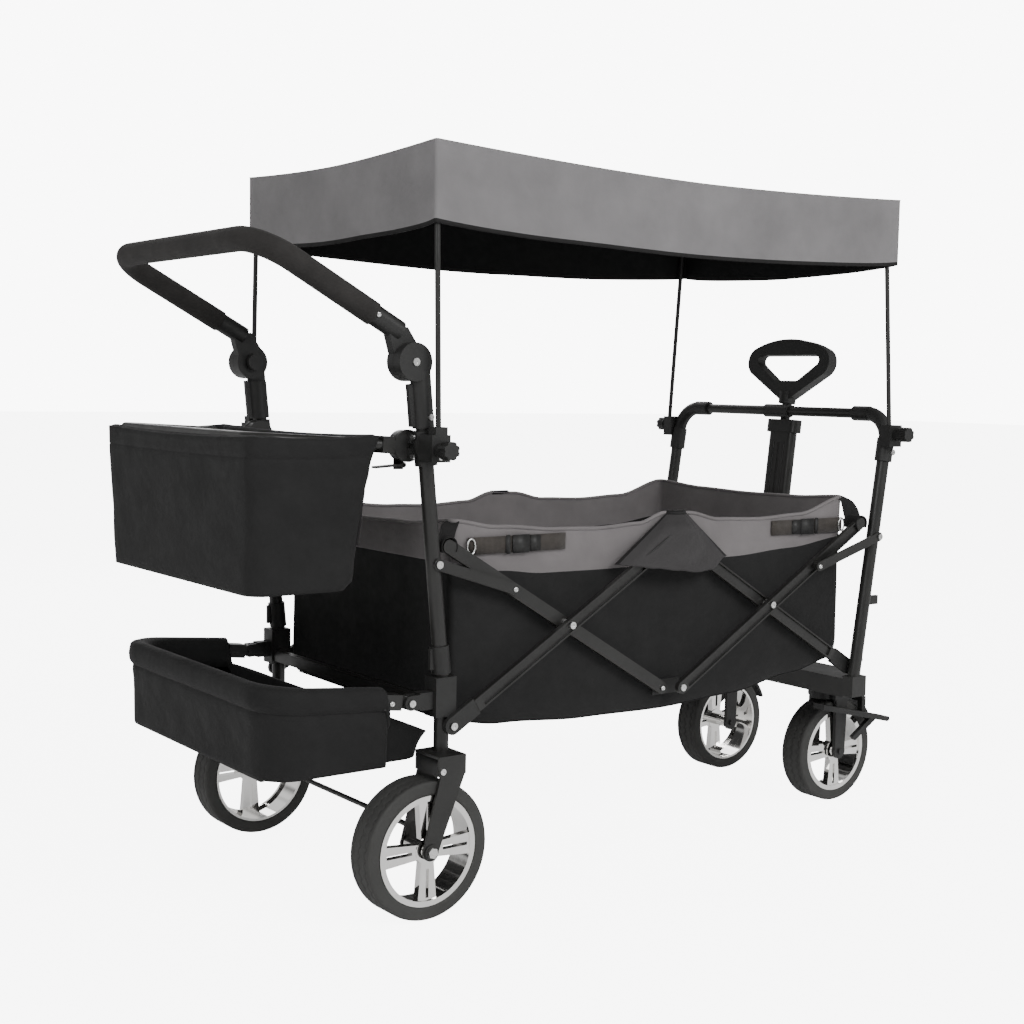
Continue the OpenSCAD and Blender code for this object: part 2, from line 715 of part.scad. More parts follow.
module caster(right) color(plastic_black) in_place() side(right) translate([0, front_track / 2, 0]) difference() {
    gap = front_tyre_w / 2 + 3;
    union() {
        translate([stem_x, 0, crown_low + 2]) cylinder(r = stem_r, h = 53);
        translate([stem_x, 0, crown_low]) cylinder(r = 22, h = crown_high - crown_low);
        block([stem_x, -gap - 7, crown_low], [994, gap + 7, crown_high]);
        for (y = [-gap - 7, gap]) {
            block([990, y, crown_low], [1010, y + 7, crown_high + 1]);
            slab([[968, crown_low + 3], [998, crown_low + 3], [994, front_wheel_r], [968, front_wheel_r]], y, y + 7);
            across([wheelbase, front_wheel_r], y, y + 7, 14);
        }
        across([wheelbase, front_wheel_r], -gap - 10, gap + 10, 5);
        across(pedal_hinge, -gap - 4, gap + 4, 3);
    }
    block([940, -gap - 9, 60], [955, gap + 9, 180]);
}
module caster_right() caster(true);
module caster_left() caster(false);

// Fender over the wheel with a foot lever outside the caster's leg, on one hinge tube
pedal_y = front_tyre_w / 2 + 12;

module brake_pedal(right) color(plastic_black) in_place() side(right) translate([0, front_track / 2, 0])
    difference() {
        union() {
            slab([[903, 194], [1084, 152], [1086, 146], [1080, 143], [903, 184]], pedal_y, pedal_y + 26);
            slab([[1056, 152], [1072, 148], [1012, 112], [1004, 119]], pedal_y, pedal_y + 8);
            block([1032, 15, 182], [1042, pedal_y + 4, 191]);
            block([1032, pedal_y - 7, 158], [1042, pedal_y + 4, 191]);
            translate([wheelbase, 22, front_wheel_r]) rotate([90, 0, 0]) rotate([0, 0, 22])
                rotate_extrude(angle = 56) translate([104.5, 0]) square([5, 44]);
            across(pedal_hinge, -20, 20, 6);
        }
        across(pedal_hinge, -30, 30, 3 + running);
    }
module brake_pedal_right() brake_pedal(true);
module brake_pedal_left() brake_pedal(false);

// ---- wheels ----

rim_share = 0.8;
shoulder = 4;           // rounding of the tyre's edges
rear_rim_r = rear_wheel_r * rim_share;
front_rim_r = front_wheel_r * rim_share;

// Tyre with rounded shoulders, turned about Y
module tyre(r, inner, w) rotate([90, 0, 0]) rotate_extrude(convexity = 4) difference() {
    union() {
        translate([inner, -w / 2]) square([r - inner - shoulder, w]);
        translate([inner, shoulder - w / 2]) square([r - inner, w - 2 * shoulder]);
        for (y = [shoulder - w / 2, w / 2 - shoulder]) translate([r - shoulder, y]) circle(r = shoulder);
    }
    translate([inner - 1, 3 - w / 2]) square([4, w - 6]);
}

// Rim with four slotted spokes near its outer face and a hub, bored for its axle
module rim(r, w, bore) rotate([90, 0, 0]) difference() {
    union() {
        rotate_extrude(convexity = 4) {
            translate([r - 4, -w / 2 + 0.5]) square([4 - seat, w - 1]);
            translate([r - 8, -w / 2 + 0.5]) square([5, 5]);
            translate([r - seat - 1, 3.2 - w / 2]) square([3.8, w - 6.4]);
        }
        translate([0, 0, -w / 2]) cylinder(r = 11, h = w);
        translate([0, 0, 2 - w / 2]) cylinder(r = 20, h = 14);
        translate([0, 0, 3 - w / 2]) linear_extrude(height = 12)
            for (a = [0 : 90 : 270]) rotate(a) difference() {
                polygon([[8, -10], [r - 3, -16], [r - 3, 16], [8, 10]]);
                translate([26, -2.5]) square([r - 38, 5]);
            }
    }
    translate([0, 0, -w]) cylinder(r = bore, h = 2 * w);
}

module rear_tyre(right) color(tyre_grey) in_place() side(right)
    translate([0, rear_track / 2, rear_wheel_r]) tyre(rear_wheel_r, rear_rim_r, rear_tyre_w);
module rear_tyre_right() rear_tyre(true);
module rear_tyre_left() rear_tyre(false);

module rear_rim(right) color(chrome) in_place() side(right)
    translate([0, rear_track / 2, rear_wheel_r]) rim(rear_rim_r, rear_tyre_w, 6 + running);
module rear_rim_right() rear_rim(true);
module rear_rim_left() rear_rim(false);

module front_tyre(right) color(tyre_grey) in_place() at_front_axle(right)
    tyre(front_wheel_r, front_rim_r, front_tyre_w);
module front_tyre_right() front_tyre(true);
module front_tyre_left() front_tyre(false);

module front_rim(right) color(chrome) in_place() at_front_axle(right)
    rim(front_rim_r, front_tyre_w, 5 + running);
module front_rim_right() front_rim(true);
module front_rim_left() front_rim(false);

rear_uprights();
rear_brackets();
rear_clamps();
handle_sleeves();
rear_forks();
rear_crossbars();
rear_canopy_poles();
rear_fasteners();
tub_fabric();
corner_straps();
floor_mat();
canopy_fabric();
rear_knob_right();
rear_knob_left();
hub_button_right();
hub_button_left();
handle_tube();
handle_grip();
handle_arms();
upper_basket_frame();
upper_basket_bag();
basket_lever_right();
basket_lever_left();
lower_basket_frame();
lower_basket_bag();
rear_arms();
rear_arm_sleeves();
arm_rivets();
rear_braces();
centre_hubs();
rear_links();
front_arms();
front_arm_sleeves();
front_braces();
brace_rivets();
front_links();
front_uprights();
corner_fittings();
top_crossbars();
centre_clip();
front_crossmember();
front_canopy_poles();
front_fasteners();
front_knob_right();
front_knob_left();
pull_channel();
pull_tube();
pull_grip();
caster_right();
caster_left();
brake_pedal_right();
brake_pedal_left();
rear_tyre_right();
rear_tyre_left();
rear_rim_right();
rear_rim_left();
front_tyre_right();
front_tyre_left();
front_rim_right();
front_rim_left();
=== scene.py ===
"""Looks of the folding children's wagon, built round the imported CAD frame.

Lengths written as bare numbers are millimetres from the middle of the rear axle's line on the ground:
x forward, y to the wagon's left, z up. at() turns them into metres in the row frame.
"""
import json
import math

import bmesh
import bpy
from mathutils import Matrix, Vector, noise


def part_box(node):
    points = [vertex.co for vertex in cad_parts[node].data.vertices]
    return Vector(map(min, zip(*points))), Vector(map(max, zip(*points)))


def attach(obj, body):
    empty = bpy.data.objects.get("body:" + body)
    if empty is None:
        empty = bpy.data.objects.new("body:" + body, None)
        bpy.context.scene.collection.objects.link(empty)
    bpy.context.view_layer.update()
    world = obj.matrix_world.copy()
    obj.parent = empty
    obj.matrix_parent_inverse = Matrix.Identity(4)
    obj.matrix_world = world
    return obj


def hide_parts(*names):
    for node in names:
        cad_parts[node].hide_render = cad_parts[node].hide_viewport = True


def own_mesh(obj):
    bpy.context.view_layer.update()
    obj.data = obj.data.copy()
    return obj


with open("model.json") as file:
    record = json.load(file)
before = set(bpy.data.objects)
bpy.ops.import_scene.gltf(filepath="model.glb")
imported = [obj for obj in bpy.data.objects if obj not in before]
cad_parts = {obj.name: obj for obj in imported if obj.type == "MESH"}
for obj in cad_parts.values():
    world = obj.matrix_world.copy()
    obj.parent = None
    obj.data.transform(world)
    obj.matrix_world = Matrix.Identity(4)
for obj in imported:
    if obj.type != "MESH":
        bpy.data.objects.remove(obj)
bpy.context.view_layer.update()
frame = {"nodes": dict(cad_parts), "record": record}

MM = 0.001
WHEEL_LOW, WHEEL_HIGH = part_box("rear_tyre_right")
AXLE_X = (WHEEL_LOW[0] + WHEEL_HIGH[0]) / 2


def at(x, y, z):
    return Vector((AXLE_X + x * MM, y * MM, z * MM))


# ---------------------------------------------------------------- camera

CAMERA_PLACE = (-1172.9, -2033.1, 759.9)
CAMERA_YAW = 53.254
CAMERA_PITCH = 4.795
CAMERA_ROLL = 1.025
CAMERA_LENS = 53.61


def add_camera():
    yaw, pitch, roll = (math.radians(a) for a in (CAMERA_YAW, CAMERA_PITCH, CAMERA_ROLL))
    forward = Vector((math.cos(yaw) * math.cos(pitch), math.sin(yaw) * math.cos(pitch), -math.sin(pitch)))
    level_right = Vector((math.sin(yaw), -math.cos(yaw), 0))
    level_up = level_right.cross(forward)
    right = math.cos(roll) * level_right + math.sin(roll) * level_up
    up = math.cos(roll) * level_up - math.sin(roll) * level_right
    turn = Matrix((right, up, -forward)).transposed().to_4x4()
    data = bpy.data.cameras.new("camera")
    data.lens = CAMERA_LENS
    data.sensor_width = 36
    data.clip_end = 50
    camera = bpy.data.objects.new("camera", data)
    camera.matrix_world = Matrix.Translation(at(*CAMERA_PLACE)) @ turn
    bpy.context.scene.collection.objects.link(camera)
    bpy.context.scene.camera = camera


add_camera()

# ---------------------------------------------------------------- materials


class Shader:
    """A Principled material, with helpers that wire procedural detail into it."""

    def __init__(self, name, color, rough, metal=0.0, coat=0.0, sheen=0.0, coords="Object", gloss=0.5):
        self.mat = bpy.data.materials.new(name)
        self.mat.use_nodes = True
        self.nodes = self.mat.node_tree.nodes
        self.links = self.mat.node_tree.links
        self.bsdf = self.nodes["Principled BSDF"]
        self.color = color
        self.coords = coords
        for socket, value in (
            ("Base Color", (*color, 1)), ("Roughness", rough), ("Metallic", metal), ("Coat Weight", coat),
            ("Coat Roughness", 0.25), ("Sheen Weight", sheen), ("Sheen Roughness", 0.5),
        ):
            self.bsdf.inputs[socket].default_value = value
        self.bsdf.inputs["Specular IOR Level"].default_value = gloss
        self.last_normal = None

    def node(self, kind, **values):
        made = self.nodes.new(kind)
        for key, value in values.items():
            if hasattr(made, key):
                setattr(made, key, value)
            else:
                made.inputs[key.replace("_", " ")].default_value = value
        return made

    def place(self, stretch=(1, 1, 1)):
        source = self.node("ShaderNodeTexCoord")
        mapping = self.node("ShaderNodeMapping")
        mapping.inputs["Scale"].default_value = stretch
        self.links.new(source.outputs[self.coords], mapping.inputs["Vector"])
        return mapping.outputs["Vector"]

    def noise(self, scale, detail=3.0, rough=0.55, stretch=(1, 1, 1)):
        made = self.node("ShaderNodeTexNoise", Scale=scale, Detail=detail, Roughness=rough)
        self.links.new(self.place(stretch), made.inputs["Vector"])
        return made.outputs["Fac"]

    def mottle(self, scale, amount, stretch=(1, 1, 1)):
        """Varies the base colour by amount, up and down."""
        ramp = self.node("ShaderNodeValToRGB")
        ramp.color_ramp.elements[0].position = 0.3
        ramp.color_ramp.elements[1].position = 0.7
        for element, gain in zip(ramp.color_ramp.elements, (1 - amount, 1 + amount)):
            element.color = (*(c * gain for c in self.color), 1)
        self.links.new(self.noise(scale, stretch=stretch), ramp.inputs["Fac"])
        self.links.new(ramp.outputs["Color"], self.bsdf.inputs["Base Color"])
        return self

    def worn(self, scale, low, high, stretch=(1, 1, 1)):
        """Varies the roughness between low and high."""
        spread = self.node("ShaderNodeMapRange")
        spread.inputs["From Min"].default_value = 0.3
        spread.inputs["From Max"].default_value = 0.7
        spread.inputs["To Min"].default_value = low
        spread.inputs["To Max"].default_value = high
        self.links.new(self.noise(scale, stretch=stretch), spread.inputs["Value"])
        self.links.new(spread.outputs["Result"], self.bsdf.inputs["Roughness"])
        return self

    def bump(self, height, strength, distance):
        made = self.node("ShaderNodeBump", Strength=strength, Distance=distance)
        self.links.new(height, made.inputs["Height"])
        if self.last_normal:
            self.links.new(self.last_normal, made.inputs["Normal"])
        self.last_normal = made.outputs["Normal"]
        self.links.new(self.last_normal, self.bsdf.inputs["Normal"])
        return self

    def grain(self, scale, strength, distance=0.0005, stretch=(1, 1, 1)):
        return self.bump(self.noise(scale, detail=2.0, stretch=stretch), strength, distance)

    def weave(self, pitch, strength):
        """Plain weave: two crossed waves, pitch metres apart."""
        waves = []
        for axis in ("X", "Y"):
            wave = self.node("ShaderNodeTexWave", bands_direction=axis, Scale=0.314 / pitch, Distortion=0.4)
            self.links.new(self.place(), wave.inputs["Vector"])
            waves.append(wave.outputs["Fac"])
        both = self.node("ShaderNodeMath", operation="ADD")
        self.links.new(waves[0], both.inputs[0])
        self.links.new(waves[1], both.inputs[1])
        return self.bump(both.outputs["Value"], strength, 0.0004)

    def ribs(self, pitch, strength, axis="Y"):
        wave = self.node("ShaderNodeTexWave", bands_direction=axis, Scale=0.314 / pitch)
        self.links.new(self.place(), wave.inputs["Vector"])
        return self.bump(wave.outputs["Fac"], strength, 0.0005)


def cloth(name, color, rough, pitch=0.0011, sheen=0.04):
    made = Shader(name, color, rough, sheen=sheen, coords="UV", gloss=0.22)
    made.mottle(9, 0.12).worn(30, rough - 0.06, rough + 0.06)
    return made.weave(pitch, 0.22).grain(55, 0.16, 0.004).grain(16, 0.2, 0.012)


STEEL = Shader("powder_coat", (0.017, 0.0168, 0.0158), 0.36, coat=0.1, gloss=0.4)
STEEL.mottle(14, 0.15).worn(22, 0.30, 0.44).grain(900, 0.10, 0.0003)
PLASTIC = Shader("moulded_nylon", (0.016, 0.016, 0.0155), 0.48, gloss=0.4)
PLASTIC.mottle(18, 0.14).worn(35, 0.40, 0.55).grain(1400, 0.16, 0.0003)
FOAM = Shader("foam", (0.022, 0.0205, 0.0195), 0.86, sheen=0.05, gloss=0.25)
FOAM.mottle(25, 0.2).worn(40, 0.76, 0.9).grain(700, 0.35, 0.0007)
SILVER = Shader("zinc_plate", (0.75, 0.75, 0.74), 0.26, metal=1)
SILVER.mottle(120, 0.08).worn(200, 0.2, 0.34).grain(900, 0.08, 0.0002)
CHROME = Shader("chrome_plate", (0.9, 0.89, 0.87), 0.06, metal=1)
CHROME.mottle(30, 0.04).worn(60, 0.04, 0.1).grain(120, 0.05, 0.0006)
RUBBER = Shader("tyre_rubber", (0.046, 0.046, 0.044), 0.7, gloss=0.3)
RUBBER.mottle(12, 0.12).worn(30, 0.6, 0.74).grain(800, 0.16, 0.0004)
BLACK_CLOTH = cloth("black_polyester", (0.0125, 0.0125, 0.0125), 0.8)
LINING = cloth("canopy_lining", (0.008, 0.0076, 0.0078), 0.85)
GREY_CLOTH = cloth("grey_polyester", (0.190, 0.184, 0.187), 0.8)
BAND_CLOTH = cloth("band_polyester", (0.168, 0.157, 0.158), 0.8)
FLAP_CLOTH = cloth("flap_polyester", (0.042, 0.040, 0.0405), 0.8)
TRIM = cloth("binding_tape", (0.010, 0.0095, 0.0095), 0.72, pitch=0.0016)
WEBBING = Shader("ribbed_webbing", (0.040, 0.034, 0.029), 0.6, sheen=0.1, coords="UV", gloss=0.3)
WEBBING.mottle(60, 0.2).worn(80, 0.52, 0.68).ribs(0.0022, 0.8, "X").grain(500, 0.3, 0.0005)

SLOT_SHADERS = {
    "black_steel": STEEL, "black_plastic": PLASTIC, "foam_grip": FOAM, "silver_fastener": SILVER,
    "black_cloth": BLACK_CLOTH, "grey_cloth": GREY_CLOTH, "webbing": WEBBING, "tyre_rubber": RUBBER,
    "rim_chrome": CHROME,
}


def paint_cad_nodes():
    """Gives every CAD piece its material, and a fine rounding of its edges that catches the light."""
    slots = {part["node"]: part["material_slot"] for part in frame["record"]["subparts"]}
    for name, obj in frame["nodes"].items():
        for material_slot in obj.material_slots:
            material_slot.material = SLOT_SHADERS[slots[name]].mat
        bevel = obj.modifiers.new("edge", "BEVEL")
        bevel.width = 0.6 * MM
        bevel.segments = 2
        bevel.limit_method = "ANGLE"
        bevel.angle_limit = math.radians(40)
        bevel.harden_normals = True


paint_cad_nodes()

# ---------------------------------------------------------------- mesh helpers


def side_name(side):
    """side is 1 for the wagon's left, where y is positive, and -1 for its right."""
    return "left" if side > 0 else "right"


def make_object(name, verts, faces, shaders, uvs=None, picks=None, smooth=True):
    mesh = bpy.data.meshes.new(name)
    mesh.from_pydata([tuple(v) for v in verts], [], faces)
    for shader in shaders:
        mesh.materials.append(shader.mat)
    if picks:
        for polygon, pick in zip(mesh.polygons, picks):
            polygon.material_index = pick
    if uvs:
        layer = mesh.uv_layers.new(name="metres")
        for loop in mesh.loops:
            layer.data[loop.index].uv = uvs[loop.vertex_index]
    mesh.polygons.foreach_set("use_smooth", [smooth] * len(mesh.polygons))
    mesh.update()
    obj = bpy.data.objects.new(name, mesh)
    bpy.context.scene.collection.objects.link(obj)
    return obj


def grid_object(name, rows, shaders, closed=False, pick=None, flip=False):
    """A surface through rows of points. UVs are lengths in metres. pick(j, i) gives a face's material."""
    count = len(rows[0])
    down = [0.0]
    for upper, lower in zip(rows, rows[1:]):
        down.append(down[-1] + sum((a - b).length for a, b in zip(upper, lower)) / count)
    columns = count + 1 if closed else count
    verts, uvs, faces, picks = [], [], [], []
    for j, row in enumerate(rows):
        along = 0.0
        for i in range(columns):
            if i:
                along += (row[i % count] - row[i - 1]).length
            verts.append(row[i % count])
            uvs.append((along, down[j]))
    for j in range(len(rows) - 1):
        for i in range(columns - 1):
            a = j * columns + i
            quad = (a, a + 1, a + columns + 1, a + columns)
            faces.append(quad[::-1] if flip else quad)
            picks.append(pick(j, i) if pick else 0)
    return make_object(name, verts, faces, shaders, uvs, picks)


def weld(obj, distance=0.00005, other=None):
    """Joins points that lie together, after taking in the mesh of another object."""
    work = bmesh.new()
    work.from_mesh(obj.data)
    if other:
        work.from_mesh(other.data)
        bpy.data.objects.remove(other)
    bmesh.ops.remove_doubles(work, verts=work.verts, dist=distance)
    bmesh.ops.recalc_face_normals(work, faces=work.faces)
    work.to_mesh(obj.data)
    work.free()
    return obj


def modify(obj, kind, **values):
    modifier = obj.modifiers.new(kind.lower(), kind)
    for key, value in values.items():
        setattr(modifier, key, value)
    return modifier


def thicken(obj, thickness, offset=-1.0, inner=0, rim=0, even=True):
    modify(obj, "SOLIDIFY", thickness=thickness, offset=offset, material_offset=inner,
           material_offset_rim=rim, use_even_offset=even)


def curve_at(points, where):
    """Smooth value at where, through (place, value) points."""
    if where <= points[0][0]:
        return points[0][1]
    for (x0, y0), (x1, y1) in zip(points, points[1:]):
        if where <= x1:
            t = (where - x0) / (x1 - x0)
            t = t * t * (3 - 2 * t)
            return y0 + (y1 - y0) * t
    return points[-1][1]


def wrinkle(x, y, z, scale, seed=0.0):
    """Smooth noise from -1 to 1. scale is the width of a fold in millimetres."""
    return noise.noise(Vector((x / scale + seed, y / scale, z / scale)))


def tube_object(name, path, radius, shader, closed=False, sides=10):
    """A round tube of radius millimetres along points in metres."""
    rows = []
    count = len(path)
    for k, point in enumerate(path):
        before = path[k - 1] if closed or k else path[k]
        after = path[(k + 1) % count] if closed or k < count - 1 else path[k]
        run = (after - before).normalized()
        side = run.cross(Vector((0, 0, 1)))
        if side.length < 0.05:
            side = run.cross(Vector((0, 1, 0)))
        side.normalize()
        up = side.cross(run).normalized()
        rows.append([
            point + radius * MM * (math.cos(a) * side + math.sin(a) * up)
            for a in (2 * math.pi * s / sides for s in range(sides))
        ])
    if closed:
        rows.append(rows[0])
    return grid_object(name, rows, [shader], closed=True)


def strip_object(name, path, width, shader, across_dir, thickness=1.4):
    """A flat strap of that width along points in metres. across_dir is the direction of its width."""
    half = Vector(across_dir) * (width * MM / 2)
    rows = [[point - half, point, point + half] for point in path]
    obj = grid_object(name, [list(row) for row in zip(*rows)], [shader])
    thicken(obj, thickness * MM, offset=0)
    return obj


def box_object(name, low, high, shader, bevel=0.8):
    work = bmesh.new()
    bmesh.ops.create_cube(work, size=1)
    size = Vector([abs(b - a) * MM for a, b in zip(low, high)])
    middle = (at(*low) + at(*high)) / 2
    bmesh.ops.scale(work, vec=size, verts=work.verts)
    bmesh.ops.translate(work, vec=middle, verts=work.verts)
    bmesh.ops.bevel(work, geom=work.edges, offset=bevel * MM, segments=2, affect="EDGES")
    mesh = bpy.data.meshes.new(name)
    work.to_mesh(mesh)
    work.free()
    mesh.materials.append(shader.mat)
    mesh.polygons.foreach_set("use_smooth", [True] * len(mesh.polygons))
    obj = bpy.data.objects.new(name, mesh)
    bpy.context.scene.collection.objects.link(obj)
    return obj


def rounded_loop(x0, x1, y1, radius, per_corner=8, pieces=(30, 30), front=None):
    """Closed plan outline between x0 and x1 and between -y1 and y1, as (x, y, nx, ny) points.
    pieces is how many parts the straight runs along x and along y are cut into. front is the radius
    of the two corners at x1, where it isn't the same.
    """
    front = front or radius
    corners = [(x1 - front, y1 - front, 0, front), (x0 + radius, y1 - radius, 90, radius),
               (x0 + radius, radius - y1, 180, radius), (x1 - front, front - y1, 270, front)]
    points = []
    for k, (cx, cy, start, r) in enumerate(corners):
        for s in range(per_corner + 1):
            a = math.radians(start + 90 * s / per_corner)
            points.append((cx + r * math.cos(a), cy + r * math.sin(a), math.cos(a), math.sin(a)))
        next_x, next_y, _, next_r = corners[(k + 1) % 4]
        a = math.radians(start + 90)
        end = (next_x + next_r * math.cos(a), next_y + next_r * math.sin(a))
        last = points[-1]
        cuts = pieces[k % 2]
        for s in range(1, cuts):
            t = s / cuts
            points.append((last[0] + (end[0] - last[0]) * t, last[1] + (end[1] - last[1]) * t,
                           math.cos(a), math.sin(a)))
    return points


# ---------------------------------------------------------------- canopy

CANOPY_X = (-2, 978)
CANOPY_HALF = 278
CANOPY_TAPER = 6 / 278
CANOPY_TOP = 1094
VALANCE = 116


def canopy_height(u, v):
    """Height of the stretched top at u, v from 0 to 1 along x and y. It hangs between its four corners."""
    long_sag = 15 * (1 - abs(2 * u - 1) ** 1.7)
    short_sag = 10 * (1 - abs(2 * v - 1) ** 1.7)
    return CANOPY_TOP - 2 - long_sag - short_sag - 6 * math.sin(math.pi * u) * math.sin(math.pi * v)


def make_canopy():
    loop = rounded_loop(CANOPY_X[0], CANOPY_X[1], CANOPY_HALF, 5, per_corner=4, pieces=(80, 44))
    length = CANOPY_X[1] - CANOPY_X[0]
    rows = []
    levels = [0, 0.02, 0.05, 0.12, 0.2, 0.3, 0.4, 0.5, 0.6, 0.7, 0.8, 0.88, 0.93, 0.95, 0.975, 1.0]
    for level in levels:
        row = []
        for x, y, nx, ny in loop:
            u = (x - CANOPY_X[0]) / length
            v = (y + CANOPY_HALF) / (2 * CANOPY_HALF)
            corner = abs(2 * u - 1) ** 12 * abs(2 * v - 1) ** 12
            top = canopy_height(u, v)
            bottom = top - VALANCE + 3 * corner
            narrow = 1 - CANOPY_TAPER * u
            folds = 2.2 * wrinkle(x, y, 0, 130, 3.1) + 1.0 * wrinkle(x, y, 0, 45, 7.7)
            swing = (1 - corner) * level * folds
            pull = -3.0 * level * (1 - corner) * (0.4 + 0.6 * level)
            inset = min(0.0, swing + pull)
            lift = 1.5 * wrinkle(x, y, 0, 160, 9.0) * level
            row.append(at(x + nx * inset, y * narrow + ny * inset, top + (bottom - top) * level + lift))
        rows.append(row)
    trim_from = len(levels) - 3
    valance = grid_object("canopy_valance", rows, [GREY_CLOTH, LINING, TRIM], closed=True,
                          pick=lambda j, i: 2 if j >= trim_from else 0)
    top_rows = []
    steps_u, steps_v = 72, 40
    for j in range(steps_v + 1):
        v = j / steps_v
        row = []
        for i in range(steps_u + 1):
            u = i / steps_u
            x = CANOPY_X[0] + 1 + u * (length - 2)
            y = -CANOPY_HALF + 1 + v * (2 * CANOPY_HALF - 2)
            edge = min(u, 1 - u, v, 1 - v)
            ripple = 1.6 * wrinkle(x, y, 0, 110, 5.0) * min(1, edge * 8)
            row.append(at(x, y * (1 - CANOPY_TAPER * u), canopy_height(u, v) + ripple))
        top_rows.append(row)
    top = grid_object("canopy_top", top_rows, [GREY_CLOTH, LINING, TRIM])
    valance.name = "canopy_cover"
    weld(valance, 0.0004, top)
    thicken(valance, 1.4 * MM, inner=1)
    return valance


canopy = make_canopy()
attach(canopy, "rear_frame")
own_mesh(canopy)
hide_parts("canopy_fabric")

# ---------------------------------------------------------------- tub

TUB_X = (57, 895)
TUB_HALF = 239.5
SIDE_RIM = [(57, 563), (144, 551), (257, 543), (336, 541), (417, 545), (474, 560), (524, 558), (592, 545),
            (685, 542), (782, 546), (895, 573)]
REAR_RIM = [(-240, 563), (-120, 552), (0, 549), (120, 552), (240, 563)]
FRONT_RIM = [(-240, 573), (-120, 566), (0, 564), (120, 566), (240, 573)]
BAND_LOW = [(57, 500), (146, 485), (230, 477), (338, 476), (470, 476), (629, 481), (760, 489), (895, 503)]
TUB_LOW = [(57, 270), (160, 256), (320, 246), (476, 243), (640, 250), (780, 270), (895, 290)]


def tub_rim(x, y):
    if abs(y) > TUB_HALF - 8:
        return curve_at(SIDE_RIM, x)
    return curve_at(REAR_RIM if x < 400 else FRONT_RIM, y)


def make_tub():
    loop = rounded_loop(TUB_X[0], TUB_X[1], TUB_HALF, 13, per_corner=5, pieces=(76, 42))
    shares = [0, 0.12, 0.3, 0.5, 0.7, 0.86, 1.0]
    band_rows = len(shares) - 1
    lower = [0.02, 0.08, 0.18, 0.3, 0.42, 0.54, 0.66, 0.78, 0.88, 0.95, 0.985, 1.0]
    rows = []
    for k, share in enumerate(shares + lower):
        row = []
        for x, y, nx, ny in loop:
            rim = tub_rim(x, y)
            band = curve_at(BAND_LOW, x)
            low = curve_at(TUB_LOW, x)
            z = rim + (band - rim) * share if k < len(shares) else band + (low - band) * share
            depth = (rim - z) / (rim - low)
            free = math.sin(math.pi * min(1, depth * 1.02)) if depth < 0.98 else 0
            inset = 1.2 + free * (2.2 + 2.2 * wrinkle(x, y, z, 150, 1.0) + 1.1 * wrinkle(x, y, z, 52, 4.0))
            tuck = 9 * max(0, depth - 0.93) / 0.07
            inset += tuck
            row.append(at(x - nx * inset, y - ny * inset, z))
        rows.append(row)
    walls = grid_object("tub_walls", rows, [BAND_CLOTH, BLACK_CLOTH], closed=True,
                        pick=lambda j, i: 0 if j < band_rows else 1)
    floor_rows = []
    for j in range(25):
        v = -1 + j / 12
        row = []
        for i in range(61):
            x = TUB_X[0] + 9 + (TUB_X[1] - TUB_X[0] - 18) * i / 60
            row.append(at(x, v * (TUB_HALF - 9), curve_at(TUB_LOW, x) - 1 + 2 * abs(v)))
        floor_rows.append(row)
    floor = grid_object("tub_floor_cloth", floor_rows, [BAND_CLOTH, BLACK_CLOTH], pick=lambda j, i: 1)
    walls.name = "tub_cover"
    weld(walls, 0.0003, floor)
    thicken(walls, 3.0 * MM)
    modify(walls, "SUBSURF", levels=1, render_levels=1)
    return walls


def soft_on_tub(piece):
    """The piece moves with the rear frame's body and gets its own copy of its mesh."""
    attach(piece, "rear_frame")
    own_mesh(piece)
    return piece


tub = make_tub()
soft_on_tub(tub)
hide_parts("tub_fabric")


def make_rim_roll():
    loop = rounded_loop(TUB_X[0] + 2.5, TUB_X[1] - 2.5, TUB_HALF - 2.5, 11, per_corner=5, pieces=(90, 50))
    return tube_object("tub_rim_roll", [at(x, y, tub_rim(x, y)) for x, y, _, _ in loop], 3.2, BAND_CLOTH,
                       closed=True)


rim_roll = make_rim_roll()
soft_on_tub(rim_roll)

MAT_X = (66, 886)
MAT_HALF = 231
MAT_LOW = 294
MAT_SEAMS = (272, 476, 680)


def make_mat():
    rows = []
    for j in range(49):
        y = -MAT_HALF + 2 * MAT_HALF * j / 48
        row = []
        for i in range(121):
            x = MAT_X[0] + (MAT_X[1] - MAT_X[0]) * i / 120
            edge = min(x - MAT_X[0], MAT_X[1] - x, y + MAT_HALF, MAT_HALF - y)
            crown = 1 - math.exp(-edge / 7)
            seam = min(abs(x - s) for s in MAT_SEAMS)
            groove = 2.6 * math.exp(-(seam / 4.5) ** 2)
            row.append(at(x, y, MAT_LOW + 8 * crown - groove + 0.4 * wrinkle(x, y, 0, 90)))
        rows.append(row)
    obj = grid_object("floor_mat_pad", rows, [BLACK_CLOTH], flip=True)
    thicken(obj, 5 * MM, offset=-1)
    return obj


mat = make_mat()
soft_on_tub(mat)
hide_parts("floor_mat")

# Five-cornered flap over the middle pivot of each side frame. It hangs outside the pivot's rivet.
FLAP_TOP = (474, 512, 560)
FLAP_LOW = [(353, 486), (376, 483), (422, 477), (470, 471), (512, 466), (546, 468), (593, 486)]
FLAP_OUT = [(0, 258), (0.12, 272), (0.5, 277), (0.75, 273), (1, 258)]
FLAP_ROOT_Y = 242.5


def make_flap_tab(side):
    tab = box_object("flap_tab_%s" % side_name(side), (473, side * 234, 556),
                     (513, side * 243.6, 563.4), TRIM, bevel=1.5)
    return soft_on_tub(tab)


